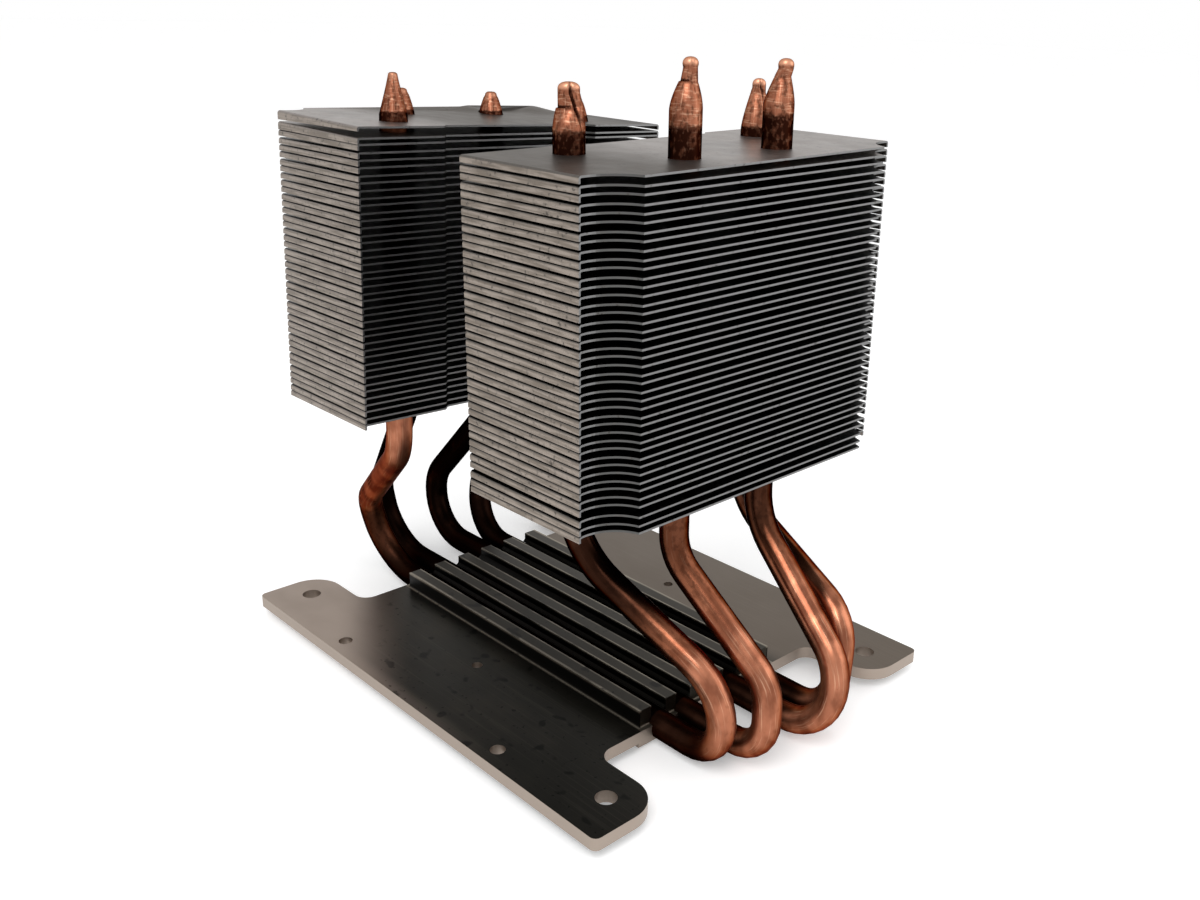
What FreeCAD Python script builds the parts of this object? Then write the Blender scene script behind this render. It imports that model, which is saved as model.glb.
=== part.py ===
import FreeCAD, Part
import math
import os

import Sketcher
from FreeCAD import Placement, Rotation, Vector

# A passive tower cooler: an extruded base, four U-shaped heat pipes and two stacks of stamped fins.
# Origin: middle of the base's contact face. X runs along the fins, Y along the base, Z up.
# The front stack is on the -Y side, the rear stack on the +Y side.

FINS_PER_STACK = 42
FINS_PER_NODE = 2
STACK_WAY = {"front": -1, "rear": 1}

SIZES = {
    # base: an H-shaped plate with a ribbed block down its middle
    "plate_width": 101.0,
    "plate_length": 125.0,
    "plate_thickness": 2.7,
    "plate_lift": 2.2,
    "ear_width": 17.5,
    "notch_depth": 19.1,
    "ear_round": 7.5,
    "notch_round": 3.5,
    "corner_round": 1.5,
    "ear_hole": 4.4,
    "ear_hole_from_side": 9.8,
    "ear_hole_from_end": 7.9,
    "side_hole": 3.2,
    "side_hole_from_side": 4.0,
    "side_hole_along": 57.6,
    "middle_hole": 2.4,
    "middle_hole_across": 60.6,
    "block_width": 40.4,
    "block_length": 84.2,
    "ridge_height": 3.85,
    "groove_spacing": 7.35,
    "groove_width": 4.2,
    "groove_depth": 2.7,
    "groove_round": 2.6,
    "foot_round": 0.6,
    "channel_height": 3.8,
    "channel_clearance": 0.05,
    # fins: stamped sheet with a folded lip at each end
    "fin_length": 83.6,
    "fin_depth": 37.6,
    "fin_thickness": 0.4,
    "front_pitch": 1.522,
    "rear_pitch": 1.5,
    "fin_wander": 0.09,
    "lip_gap": 0.03,
    "lip_bend": 0.2,
    "scallop_along": 9.2,
    "scallop_deep": 5.6,
    "scallop_radius": 7.9,
    "recess_length": 39.2,
    "recess_depth": 1.5,
    "fin_hole_clearance": 0.06,
    # stacks: where the two piles of fins stand; each leans a little from upright, legs and all
    "front_bottom": 57.2,
    "rear_bottom": 58.1,
    "front_inner": 16.6,
    "rear_inner": 19.8,
    "front_shift": -1.9,
    "rear_shift": -0.3,
    "front_tilt": -0.8,
    "rear_tilt": 1.5,
    "front_wide_gap": 0.6,
    "rear_top_lift": 1.6,
    # pipe legs: rows measured outwards from the inner edge of the fins
    "pipe_diameter": 6.0,
    "outer_leg_across": 50.6,
    "inner_leg_across": 25.2,
    "outer_leg_row": 10.0,
    "inner_leg_row": 26.6,
    "front_leg_offset": 0.3,
    "rear_leg_offset": -1.7,
    # pipe knees: how far each leans from its channel towards its leg
    "front_knee_lean": 0.15,
    "rear_knee_lean": 0.35,
    # pipe ends: crimped and welded at the front, the beads leaning one way; plain domed cones at the rear
    "bead_height": 2.4,
    "bead_margin": 0.2,
    "bead_lean_turn": -45.0,
}

# Each pipe's own bends and ends, from the -X side to the +X side: height and radius of the bend under
# the fins, reach and height of the knee, radii of the knee and the foot, how far the end stands above
# the top fin, and its shape.
PIPE_SIZES = {
    "front_bend_height": (43.2, 42.9, 43.4, 39.9),
    "front_bend": (20.0, 11.0, 14.0, 15.0),
    "front_reach": (60.5, 65.5, 70.0, 65.0),
    "front_knee": (20.9, 20.9, 21.0, 26.4),
    "front_knee_bend": (14.5, 10.0, 10.0, 10.0),
    "front_foot_bend": (9.0, 9.0, 12.2, 9.0),
    "front_end": (12.5, 17.3, 16.5, 11.5),
    "front_taper": (3.9, 4.8, 5.0, 7.2),
    "front_neck": (3.4, 3.0, 2.2, 1.6),
    "front_crimp_wide": (4.2, 2.6, 3.0, 2.8),
    "front_crimp_thin": (2.6, 2.4, 2.6, 1.9),
    "front_crimp_turn": (-45.0, -45.0, -45.0, -45.0),
    "front_bead_lean": (0.0, 0.6, 1.0, 0.4),
    "rear_bend_height": (46.4, 50.0, 45.5, 43.5),
    "rear_bend": (10.0, 10.0, 12.0, 13.0),
    "rear_reach": (60.8, 69.6, 70.4, 61.5),
    "rear_knee": (23.3, 22.5, 20.0, 21.8),
    "rear_knee_bend": (10.0, 10.0, 10.0, 10.0),
    "rear_foot_bend": (13.0, 13.0, 12.0, 12.0),
    "rear_end": (11.6, 6.8, 6.0, 6.0),
    "rear_cone": (7.2, 4.6, 4.6, 4.6),
    "rear_cone_end": (2.0, 2.8, 2.8, 2.8),
}

doc = FreeCAD.newDocument("HeatPipeCooler")
sheet = doc.addObject("Spreadsheet::Sheet", "Size")
for name, values in PIPE_SIZES.items():
    for pipe, value in enumerate(values, 1):
        SIZES[f"{name}_{pipe}"] = value
for row, (name, value) in enumerate(SIZES.items(), 1):
    sheet.set(f"A{row}", name.replace("_", " "))
    sheet.set(f"B{row}", str(value))
    sheet.setAlias(f"B{row}", name)
doc.recompute()


def number(expression):
    return float(sheet.evalExpression(expression))


def bind(item, **expressions):
    for prop, expression in expressions.items():
        item.setExpression(prop.replace("__", "."), expression)


def origin_plane(body, role):
    return next(f for f in body.Origin.OriginFeatures if f.Role == role)


def new_sketch(body, name, role):
    sketch = body.newObject("Sketcher::SketchObject", name)
    sketch.AttachmentSupport = [(origin_plane(body, role), "")]
    sketch.MapMode = "FlatFace"
    return sketch


def pin(sketch, edge, end, x, y):
    """Hold one end of an edge, or a circle's centre, at two expressions."""
    for kind, expression in (("DistanceX", x), ("DistanceY", y)):
        rule = Sketcher.Constraint(kind, -1, 1, edge, end, number(expression))
        sketch.setExpression(f"Constraints[{sketch.addConstraint(rule)}]", expression)


def dimension(sketch, kind, edge, expression):
    rule = Sketcher.Constraint(kind, edge, number(expression))
    sketch.setExpression(f"Constraints[{sketch.addConstraint(rule)}]", expression)


def end_at(sketch, edge, point):
    return 1 if (sketch.getPoint(edge, 1) - point).Length < 1e-6 else 2


def outline(body, name, role, corners, arcs=None):
    """Closed outline whose corners are pairs of expressions. For an edge that is an arc, arcs gives its
    radius and the side of the edge its centre lies on: 1 left, -1 right."""
    arcs = arcs or {}
    sketch = new_sketch(body, name, role)
    points = [Vector(number(x), number(y), 0) for x, y in corners]
    for i, start in enumerate(points):
        stop = points[(i + 1) % len(points)]
        if i not in arcs:
            sketch.addGeometry(Part.LineSegment(start, stop))
            continue
        radius = number(arcs[i][0])
        chord = stop - start
        across = Vector(-chord.y, chord.x, 0).normalize() * arcs[i][1]
        rise = math.sqrt(radius**2 - chord.Length**2 / 4)
        crown = (start + stop) / 2 + across * (rise - radius)
        sketch.addGeometry(Part.Arc(start, crown, stop))
    for i, (x, y) in enumerate(corners):
        before = (i - 1) % len(points)
        end = end_at(sketch, i, points[i])
        joined = Sketcher.Constraint("Coincident", before, end_at(sketch, before, points[i]), i, end)
        sketch.addConstraint(joined)
        pin(sketch, i, end, x, y)
    for i, (radius, side) in arcs.items():
        dimension(sketch, "Radius", i, radius)
    return sketch


def circles(body, name, role, centres, diameter):
    sketch = new_sketch(body, name, role)
    for i, (x, y) in enumerate(centres):
        centre = Vector(number(x), number(y), 0)
        sketch.addGeometry(Part.Circle(centre, Vector(0, 0, 1), number(diameter) / 2))
        pin(sketch, i, 3, x, y)
        dimension(sketch, "Diameter", i, diameter)
    return sketch


def pad(body, name, sketch, length, both_ways=False):
    feature = body.newObject("PartDesign::Pad", name)
    feature.Profile = sketch
    feature.SideType = "Symmetric" if both_ways else "One side"
    bind(feature, Length=length)
    return feature


def cut_through(body, name, sketch):
    """Pocket that passes through the whole body, both ways from its sketch."""
    feature = body.newObject("PartDesign::Pocket", name)
    feature.Profile = sketch
    feature.SideType = "Symmetric"
    feature.Type = "ThroughAll"
    return feature


def round_edges(body, name, wanted, radius):
    """Fillet the edges of the body for which wanted(edge) is true."""
    doc.recompute()
    tip = body.Tip
    chosen = [f"Edge{i}" for i, edge in enumerate(tip.Shape.Edges, 1) if wanted(edge)]
    feature = body.newObject("PartDesign::Fillet", name)
    feature.Base = (tip, chosen)
    bind(feature, Radius=radius)
    return feature


def mirrored_pairs(half_x, half_y):
    return [(f"{a} * {half_x}", f"{b} * {half_y}") for a in (-1, 1) for b in (-1, 1)]


def near(value, expression):
    return abs(abs(value) - number(expression)) < 1e-4


def upright_at(x, y):
    """Test for an upright edge at plus or minus x and y."""
    def test(edge):
        upright = edge.BoundBox.XLength + edge.BoundBox.YLength < 1e-4
        return upright and all(near(v.Point.x, x) and near(v.Point.y, y) for v in edge.Vertexes)
    return test


# Base: extruded profile, its ends milled to an H, drilled for screws
PLATE_TOP = "(Size.plate_lift + Size.plate_thickness)"
RIDGE_TOP = f"({PLATE_TOP} + Size.ridge_height)"
PLATE_X = "(Size.plate_width / 2)"
PLATE_Y = "(Size.plate_length / 2)"
EAR_X = f"({PLATE_X} - Size.ear_width)"
NOTCH_Y = f"({PLATE_Y} - Size.notch_depth)"
BLOCK_X = "(Size.block_width / 2)"
CHANNEL = "(Size.pipe_diameter + 2 * Size.channel_clearance)"
CHANNELS = (-2, -1, 1, 2)
GROOVES = (-2, -1, 0, 1, 2)

base = doc.addObject("PartDesign::Body", "Base")
base.Label = "base_plate"
plate = outline(base, "PlateProfile", "XZ_Plane", [
    (f"-{PLATE_X}", "Size.plate_lift"),
    (PLATE_X, "Size.plate_lift"),
    (PLATE_X, PLATE_TOP),
    (f"-{PLATE_X}", PLATE_TOP),
])
pad(base, "Plate", plate, "Size.plate_length", both_ways=True)
for stack, way in STACK_WAY.items():
    notch = outline(base, f"{stack}_notch_outline", "XY_Plane", [
        (f"-{EAR_X}", f"{way} * {NOTCH_Y}"),
        (EAR_X, f"{way} * {NOTCH_Y}"),
        (EAR_X, f"{way} * Size.plate_length"),
        (f"-{EAR_X}", f"{way} * Size.plate_length"),
    ])
    cut_through(base, f"{stack}_notch", notch)
round_edges(base, "EarRounds", upright_at(EAR_X, PLATE_Y), "Size.ear_round")
round_edges(base, "NotchRounds", upright_at(EAR_X, NOTCH_Y), "Size.notch_round")
round_edges(base, "CornerRounds", upright_at(PLATE_X, PLATE_Y), "Size.corner_round")

block = outline(base, "BlockProfile", "XZ_Plane", [
    (f"-{BLOCK_X}", "0"),
    (BLOCK_X, "0"),
    (BLOCK_X, RIDGE_TOP),
    (f"-{BLOCK_X}", RIDGE_TOP),
])
pad(base, "Block", block, "Size.block_length", both_ways=True)


def foot_edge(edge):
    return all(near(v.Point.x, BLOCK_X) and near(v.Point.z, PLATE_TOP) for v in edge.Vertexes)


round_edges(base, "FootRounds", foot_edge, "Size.foot_round")
GROOVE_X = "Size.groove_width / 2"
GROOVE_FLOOR = f"({RIDGE_TOP} - Size.groove_depth)"
GROOVE_SAG = "(Size.groove_round - sqrt(Size.groove_round ^ 2 - Size.groove_width ^ 2 / 4))"
for order, place in enumerate(GROOVES, 1):
    left = f"{place} * Size.groove_spacing - {GROOVE_X}"
    right = f"{place} * Size.groove_spacing + {GROOVE_X}"
    groove = outline(base, f"GrooveProfile{order}", "XZ_Plane", [
        (left, f"{GROOVE_FLOOR} + {GROOVE_SAG}"),
        (right, f"{GROOVE_FLOOR} + {GROOVE_SAG}"),
        (right, f"{RIDGE_TOP} + Size.ridge_height"),
        (left, f"{RIDGE_TOP} + Size.ridge_height"),
    ], {0: ("Size.groove_round", 1)})
    cut_through(base, f"Groove{order}", groove)
channels = circles(base, "ChannelCircles", "XZ_Plane", [
    (f"{place} * Size.groove_spacing", "Size.channel_height") for place in CHANNELS
], CHANNEL)
cut_through(base, "Channels", channels)
ear_spots = mirrored_pairs(f"({PLATE_X} - Size.ear_hole_from_side)", f"({PLATE_Y} - Size.ear_hole_from_end)")
side_spots = mirrored_pairs(f"({PLATE_X} - Size.side_hole_from_side)", "Size.side_hole_along / 2")
middle_spots = [(f"{side} * Size.middle_hole_across / 2", "0") for side in (-1, 1)]
ear_circles = circles(base, "EarCircles", "XY_Plane", ear_spots, "Size.ear_hole")
cut_through(base, "EarHoles", ear_circles)
side_circles = circles(base, "SideCircles", "XY_Plane", side_spots, "Size.side_hole")
cut_through(base, "SideHoles", side_circles)
middle_circles = circles(base, "MiddleCircles", "XY_Plane", middle_spots, "Size.middle_hole")
cut_through(base, "MiddleHoles", middle_circles)

# Fins: flat stamped sheet with four leg holes and a lip folded down at each end, one stamping for each stack.
# A fin's own origin is the middle of its inner edge, on its underside; it reaches out to -Y.
FIN_X = "(Size.fin_length / 2)"
LIP_OUTSIDE = "(Size.lip_bend + Size.fin_thickness)"
FLAT_X = f"({FIN_X} - {LIP_OUTSIDE})"
LIP_DEEP = "(Size.fin_depth - Size.scallop_deep)"
RECESS_X = "(Size.recess_length / 2)"
FRONT_X = f"({FIN_X} - Size.scallop_along)"
FIN_HOLE = "(Size.pipe_diameter + 2 * Size.fin_hole_clearance)"


def stamp_fin(stack):
    fin = doc.addObject("PartDesign::Body", f"{stack}_fin")
    flat = outline(fin, f"{stack}_flat_outline", "XY_Plane", [
        (f"-{FLAT_X}", "0"),
        (f"-{FLAT_X}", f"-{LIP_DEEP}"),
        (f"-{FRONT_X}", "-Size.fin_depth"),
        (FRONT_X, "-Size.fin_depth"),
        (FLAT_X, f"-{LIP_DEEP}"),
        (FLAT_X, "0"),
        (f"{RECESS_X} + Size.recess_depth", "0"),
        (RECESS_X, "-Size.recess_depth"),
        (f"-{RECESS_X}", "-Size.recess_depth"),
        (f"-{RECESS_X} - Size.recess_depth", "0"),
    ], {1: ("Size.scallop_radius", -1), 3: ("Size.scallop_radius", -1)})
    pad(fin, f"{stack}_flat", flat, "Size.fin_thickness")
    lip_drop = f"(Size.{stack}_pitch - Size.fin_thickness - 2 * Size.fin_wander - Size.lip_gap)"
    lip_profile = outline(fin, f"{stack}_lip_profile", "XZ_Plane", [
        (FLAT_X, "0"),
        (f"{FIN_X} - Size.fin_thickness", "-Size.lip_bend"),
        (f"{FIN_X} - Size.fin_thickness", f"-{lip_drop}"),
        (FIN_X, f"-{lip_drop}"),
        (FIN_X, "-Size.lip_bend"),
        (FLAT_X, "Size.fin_thickness"),
    ], {0: ("Size.lip_bend", -1), 4: (LIP_OUTSIDE, 1)})
    lip = pad(fin, f"{stack}_lip", lip_profile, LIP_DEEP)
    both_lips = fin.newObject("PartDesign::Mirrored", f"{stack}_both_lips")
    both_lips.Originals = [lip]
    both_lips.MirrorPlane = (origin_plane(fin, "YZ_Plane"), [""])
    fin.Tip = both_lips
    aside = f"{-STACK_WAY[stack]} * Size.{stack}_leg_offset"
    leg_spots = [
        (f"{side} * Size.{row}_leg_across / 2 + {aside}", f"-Size.{row}_leg_row")
        for row in ("outer", "inner") for side in (-1, 1)
    ]
    leg_circles = circles(fin, f"{stack}_leg_circles", "XY_Plane", leg_spots, FIN_HOLE)
    cut_through(fin, f"{stack}_leg_holes", leg_circles)
    return fin


fins = {stack: stamp_fin(stack) for stack in STACK_WAY}
doc.recompute()

# Stacks: the rear fins are turned half round, inner edge to inner edge. The fins wander a little
# from an even pitch. The front stack has one wide gap above its third fin, and the rear stack's top
# fin is bent up along its inner edge.
FRONT_FINS_BELOW_GAP = 3
WANDER_TURN = 137.5
TOP_FIN = FINS_PER_STACK - 1
STACK_TOP = {
    "front": f"Size.front_bottom + {TOP_FIN} * Size.front_pitch + Size.front_wide_gap",
    "rear": f"Size.rear_bottom + {TOP_FIN} * Size.rear_pitch",
}


def stack_turn(stack):
    return Rotation(Vector(0, 1, 0), number(f"Size.{stack}_tilt"))


def fin_height(stack, index):
    height = f"Size.{stack}_bottom + {index} * Size.{stack}_pitch"
    height += f" + Size.fin_wander * sin({(index + 1) * WANDER_TURN})"
    if stack == "front" and index >= FRONT_FINS_BELOW_GAP:
        height += " + Size.front_wide_gap"
    return height


def place_fin(stack, index):
    height = fin_height(stack, index)
    turn = stack_turn(stack)
    lift = "0"
    if stack == "rear" and index == TOP_FIN:
        turn = turn * Rotation(Vector(1, 0, 0), -number("Size.rear_top_lift"))
        lift = "Size.fin_depth * sin(Size.rear_top_lift)"
    if stack == "rear":
        turn = turn * Rotation(Vector(0, 0, 1), 180)
    link = doc.addObject("App::Link", f"{stack}_fin_{index + 1}")
    link.LinkedObject = fins[stack]
    link.Placement = Placement(Vector(), turn)
    bind(
        link,
        Placement__Base__x=f"Size.{stack}_shift + ({height} - ({STACK_TOP[stack]})) * tan(Size.{stack}_tilt)",
        Placement__Base__y=f"{STACK_WAY[stack]} * Size.{stack}_inner",
        Placement__Base__z=f"{height} + {lift}",
    )
    return link


nodes = [base]
for stack in STACK_WAY:
    for first in range(0, FINS_PER_STACK, FINS_PER_NODE):
        last = first + FINS_PER_NODE
        node = doc.addObject("Part::Compound", f"{stack}_fins_{first + 1:02d}_{last:02d}")
        node.Links = [place_fin(stack, index) for index in range(first, last)]
        nodes.append(node)

# Heat pipes: each runs from its rear end, down through its channel, to its front end
LEGS = (("outer", -1), ("inner", -1), ("inner", 1), ("outer", 1))
TIP_LENGTH = {
    "front": "(Size.front_taper_{0} + Size.front_neck_{0} + Size.bead_height / 2)",
    "rear": "(Size.rear_cone_{0} + Size.rear_cone_end_{0} / 2)",
}


def rounded_route(corners, radii):
    """Wire of straight runs joined by tangent arcs at the inner corners."""
    edges = []
    start = corners[0]
    for before, corner, after, radius in zip(corners, corners[1:], corners[2:], radii):
        back = (before - corner).normalize()
        ahead = (after - corner).normalize()
        half_angle = back.getAngle(ahead) / 2
        inward = (back + ahead).normalize()
        enter = corner + back * (radius / math.tan(half_angle))
        leave = corner + ahead * (radius / math.tan(half_angle))
        middle = corner + inward * (radius / math.sin(half_angle) - radius)
        edges.append(Part.LineSegment(start, enter).toShape())
        edges.append(Part.Arc(enter, middle, leave).toShape())
        start = leave
    edges.append(Part.LineSegment(start, corners[-1]).toShape())
    return Part.Wire(edges)


def leg_point(pipe, stack, rise):
    """Point on the middle line of a pipe's leg, at a height above the underside of the top fin."""
    row, side = LEGS[pipe - 1]
    way = STACK_WAY[stack]
    top = Vector(number(f"Size.{stack}_shift"), way * number(f"Size.{stack}_inner"), number(STACK_TOP[stack]))
    across = number(f"{side} * Size.{row}_leg_across / 2 + Size.{stack}_leg_offset")
    return top + stack_turn(stack).multVec(Vector(across, way * number(f"Size.{row}_leg_row"), number(rise)))


def leg_corners(pipe, stack):
    """Corners from a pipe's straight end down to its foot beside the block."""
    tip = TIP_LENGTH[stack].format(pipe)
    end = leg_point(pipe, stack, f"Size.fin_thickness + Size.{stack}_end_{pipe} - {tip}")
    bend = leg_point(pipe, stack, f"Size.{stack}_bend_height_{pipe} - ({STACK_TOP[stack]})")
    channel_x = number(f"{CHANNELS[pipe - 1]} * Size.groove_spacing")
    knee_x = channel_x + number(f"Size.{stack}_knee_lean") * (bend.x - channel_x)
    knee_y = STACK_WAY[stack] * number(f"Size.{stack}_reach_{pipe}")
    return [
        end,
        bend,
        Vector(knee_x, knee_y, number(f"Size.{stack}_knee_{pipe}")),
        Vector(channel_x, knee_y, number("Size.channel_height")),
    ]


def pipe_end(kind, name, stack, leg_end, rise, turn=0, lean="0", **expressions):
    """Solid or section of a pipe's end, at a rise above the end of its straight leg and a lean from it."""
    item = doc.addObject(kind, name)
    aside = Rotation(Vector(0, 0, 1), number("Size.bead_lean_turn")).multVec(Vector(number(lean), 0, 0))
    spot = leg_end + stack_turn(stack).multVec(aside + Vector(0, 0, number(rise)))
    item.Placement = Placement(spot, stack_turn(stack) * Rotation(Vector(0, 0, 1), turn))
    bind(item, **expressions)
    return item


def loft(name, sections):
    item = doc.addObject("Part::Loft", name)
    item.Sections = sections
    item.Solid = True
    item.Ruled = True
    return item


PIPE_RADIUS = "Size.pipe_diameter / 2"
for pipe in range(1, len(LEGS) + 1):
    rear = leg_corners(pipe, "rear")
    front = leg_corners(pipe, "front")
    bends = [
        number(f"Size.rear_bend_{pipe}"),
        number(f"Size.rear_knee_bend_{pipe}"),
        number(f"Size.rear_foot_bend_{pipe}"),
        number(f"Size.front_foot_bend_{pipe}"),
        number(f"Size.front_knee_bend_{pipe}"),
        number(f"Size.front_bend_{pipe}"),
    ]
    route = doc.addObject("Part::Feature", f"Route{pipe}")
    route.Shape = rounded_route(rear + front[::-1], bends)
    section = pipe_end("Part::Circle", f"Section{pipe}", "rear", rear[0], "0", Radius=PIPE_RADIUS)
    tube = doc.addObject("Part::Sweep", f"Tube{pipe}")
    tube.Sections = [section]
    tube.Spine = (route, [f"Edge{i}" for i in range(1, len(route.Shape.Edges) + 1)])
    tube.Solid = True

    cone = pipe_end(
        "Part::Cone", f"Cone{pipe}", "rear", rear[0], "0",
        Radius1=PIPE_RADIUS, Radius2=f"Size.rear_cone_end_{pipe} / 2", Height=f"Size.rear_cone_{pipe}",
    )
    dome = pipe_end(
        "Part::Sphere", f"Dome{pipe}", "rear", rear[0], f"Size.rear_cone_{pipe}",
        Radius=f"Size.rear_cone_end_{pipe} / 2",
    )

    turn = number(f"Size.front_crimp_turn_{pipe}")
    lean = f"Size.front_bead_lean_{pipe}"
    neck_rise = f"Size.front_taper_{pipe} + Size.front_neck_{pipe}"
    wide = f"Size.front_crimp_wide_{pipe} / 2"
    thin = f"Size.front_crimp_thin_{pipe} / 2"
    pinch = {"MajorRadius": wide, "MinorRadius": thin}
    ring = pipe_end("Part::Circle", f"Ring{pipe}", "front", front[0], "0", turn, Radius=PIPE_RADIUS)
    crimp = pipe_end(
        "Part::Ellipse", f"Crimp{pipe}", "front", front[0], f"Size.front_taper_{pipe}", turn,
        f"{lean} / 2", **pinch,
    )
    neck_top = pipe_end("Part::Ellipse", f"NeckTop{pipe}", "front", front[0], neck_rise, turn, lean, **pinch)
    taper = loft(f"Taper{pipe}", [ring, crimp])
    neck = loft(f"Neck{pipe}", [crimp, neck_top])
    bead = pipe_end(
        "Part::Ellipsoid", f"Bead{pipe}", "front", front[0], neck_rise, turn, lean,
        Radius1="Size.bead_height / 2", Radius2=wide, Radius3=f"{thin} + Size.bead_margin",
    )

    whole = doc.addObject("Part::MultiFuse", f"Pipe{pipe}")
    whole.Label = f"heat_pipe_{pipe}"
    whole.Shapes = [tube, cone, dome, taper, neck, bead]
    whole.Refine = True
    nodes.append(whole)

doc.recompute()
for item in doc.Objects:
    if "Invalid" in item.State or "Error" in item.State:
        raise RuntimeError(f"{item.Label}: {item.State}")
os.makedirs("parts", exist_ok=True)
for node in nodes:
    if node.Shape.isNull() or not node.Shape.isValid():
        raise RuntimeError(f"{node.Label} has no valid shape")
    node.Shape.exportStep(f"parts/{node.Label}.step")
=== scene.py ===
import math

import bmesh
import bpy
from mathutils import Matrix, Vector, geometry


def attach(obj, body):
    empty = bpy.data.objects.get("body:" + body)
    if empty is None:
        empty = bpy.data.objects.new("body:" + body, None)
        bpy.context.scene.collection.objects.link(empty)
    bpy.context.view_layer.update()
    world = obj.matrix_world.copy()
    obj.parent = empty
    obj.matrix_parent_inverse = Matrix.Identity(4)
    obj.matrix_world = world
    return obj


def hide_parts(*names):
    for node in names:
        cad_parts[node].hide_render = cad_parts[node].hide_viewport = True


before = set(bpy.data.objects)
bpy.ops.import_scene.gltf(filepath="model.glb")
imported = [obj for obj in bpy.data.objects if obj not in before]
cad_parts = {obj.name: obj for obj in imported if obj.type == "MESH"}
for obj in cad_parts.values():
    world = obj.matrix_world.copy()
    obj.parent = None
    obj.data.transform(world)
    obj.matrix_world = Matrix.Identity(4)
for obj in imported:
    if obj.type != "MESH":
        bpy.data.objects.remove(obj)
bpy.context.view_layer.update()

MM = 0.001

# Base plate: one aluminium extrusion, its ends milled to an H and drilled for screws. Its broad faces are
# painted near black as a dark reflection, the left strip also carries dark stains, and the rear left ear
# keeps the metal's own warm grey. The milled edges stay bright. The CAD solid is shown. Sizes in mm.
BASE_DARK_REFLECTION = "#32302b"
BASE_RIDGE = "#35312a"
BASE_MID = "#645a50"
BASE_LIGHT = "#988a7f"
BASE_CUT = "#a3968b"
BASE_WORN_AND_HIGHLIGHT = "#8d8578"
BASE_SOOT_AND_SHADE = "#0d0c0a"
BASE_ROUGH = (0.34, 0.5)
BASE_RELIEF = 0.02
PLATE_TOP = 4.9
RIDGE_TOP = 8.75
BLOCK_HALF_WIDTH = 20.2
GROOVE_SPACING = 7.35
GROOVE_HALF_WIDTH = 2.1
# Where a finish starts and where it is full. The painted dark reflection fades at the ear, and the stains
# end, along a slant.
EAR_SLANT = -1.45
REFLECTION_FADE_AT_EAR = (68.0, 102.0)
STAINED_END = (87.3, 74.7)
STAINED_SIDE = (30.0, -10.0)
LEFT_STRIP = (-15.0, -22.0)
RIGHT_STRIP = (18.0, 26.0)
LEFT_RIM = (-46.5, -50.0)
RIM_ALONG = (-45.0, 30.0)
# Marks: size along X, Y and Z, and how finely they break up. The die's own lines are finer than 0.1 mm, and
# are drawn 0.35 mm wide so that they show.
BASE_PATCHES = ((9.0, 14.0, 9.0), 3.0)
DIE_LINES = ((0.35, 40.0, 0.35), 3.0)
SPECKS = ((1.2, 1.2, 1.2), 1.0)
STAINS = ((3.5, 5.0, 5.0), 1.0)


def linear(hex_colour):
    """sRGB hex to linear RGBA."""
    parts = [int(hex_colour[i:i + 2], 16) / 255 for i in (1, 3, 5)]
    return tuple(p / 12.92 if p <= 0.04045 else ((p + 0.055) / 1.055) ** 2.4 for p in parts) + (1.0,)


def add(tree, kind, inputs=None, **settings):
    """Add a node. Settings are its properties. Inputs maps its sockets to values, to outputs of other nodes,
    or to other nodes, whose first output is meant."""
    made = tree.nodes.new("ShaderNode" + kind)
    for name, value in settings.items():
        setattr(made, name, value)
    for name, value in (inputs or {}).items():
        if isinstance(value, bpy.types.Node):
            value = value.outputs[0]
        if isinstance(value, bpy.types.NodeSocket):
            tree.links.new(value, made.inputs[name])
        else:
            made.inputs[name].default_value = value
    return made


def metal(name, *marks):
    """New bare metal: the material, its node tree, its shader, the place in mm, and its marks. A mark that
    follows a tube also names the point attribute to follow."""
    made = bpy.data.materials.new(name)
    made.use_nodes = True
    tree = made.node_tree
    shader = tree.nodes["Principled BSDF"]
    shader.inputs["Metallic"].default_value = 1.0
    metres = add(tree, "TexCoord").outputs["Object"]
    place = add(tree, "VectorMath", {0: metres, 1: [1 / MM] * 3}, operation="MULTIPLY").outputs[0]
    patterns = []
    for sizes, detail, *followed in marks:
        at = add(tree, "Attribute", attribute_name=followed[0]).outputs["Vector"] if followed else place
        spread = add(tree, "Mapping", {"Vector": at, "Scale": [1 / size for size in sizes]})
        patterns.append(add(tree, "TexNoise", {"Vector": spread, "Scale": 1.0, "Detail": detail}))
    return made, tree, shader, place, *patterns


def facing(tree):
    """How much a face looks sideways, along X, and how much up or down: 0 to 1."""
    normal = add(tree, "NewGeometry").outputs["True Normal"]
    either_way = add(tree, "VectorMath", {0: normal}, operation="ABSOLUTE")
    parts = add(tree, "SeparateXYZ", {0: either_way}).outputs
    return parts["X"], parts["Z"]


def lay(tree, under, over, *limits, strength=1.0):
    """Lay one finish over another where every limit holds. A limit is a value, where the finish starts on it
    and where it is full."""
    part = strength
    for value, start, full in limits:
        edge = add(tree, "MapRange", {"Value": value, "From Min": start, "From Max": full},
                   interpolation_type="SMOOTHSTEP")
        part = add(tree, "Math", {0: part, 1: edge}, operation="MULTIPLY")
    under, over = (linear(c) if isinstance(c, str) else c for c in (under, over))
    return add(tree, "Mix", {0: part, 6: under, 7: over}, data_type="RGBA").outputs[2]


def finish_metal(tree, shader, colour, rough_by, rough, relief_by, relief):
    """Give the shader its colour, a roughness between two values, and fine relief of a depth in mm."""
    spread = add(tree, "MapRange", {"Value": rough_by, "To Min": rough[0], "To Max": rough[1]})
    raised = add(tree, "Bump", {"Height": relief_by, "Strength": 0.3, "Distance": relief * MM})
    tree.links.new(colour, shader.inputs["Base Color"])
    tree.links.new(spread.outputs[0], shader.inputs["Roughness"])
    tree.links.new(raised.outputs[0], shader.inputs["Normal"])


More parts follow.
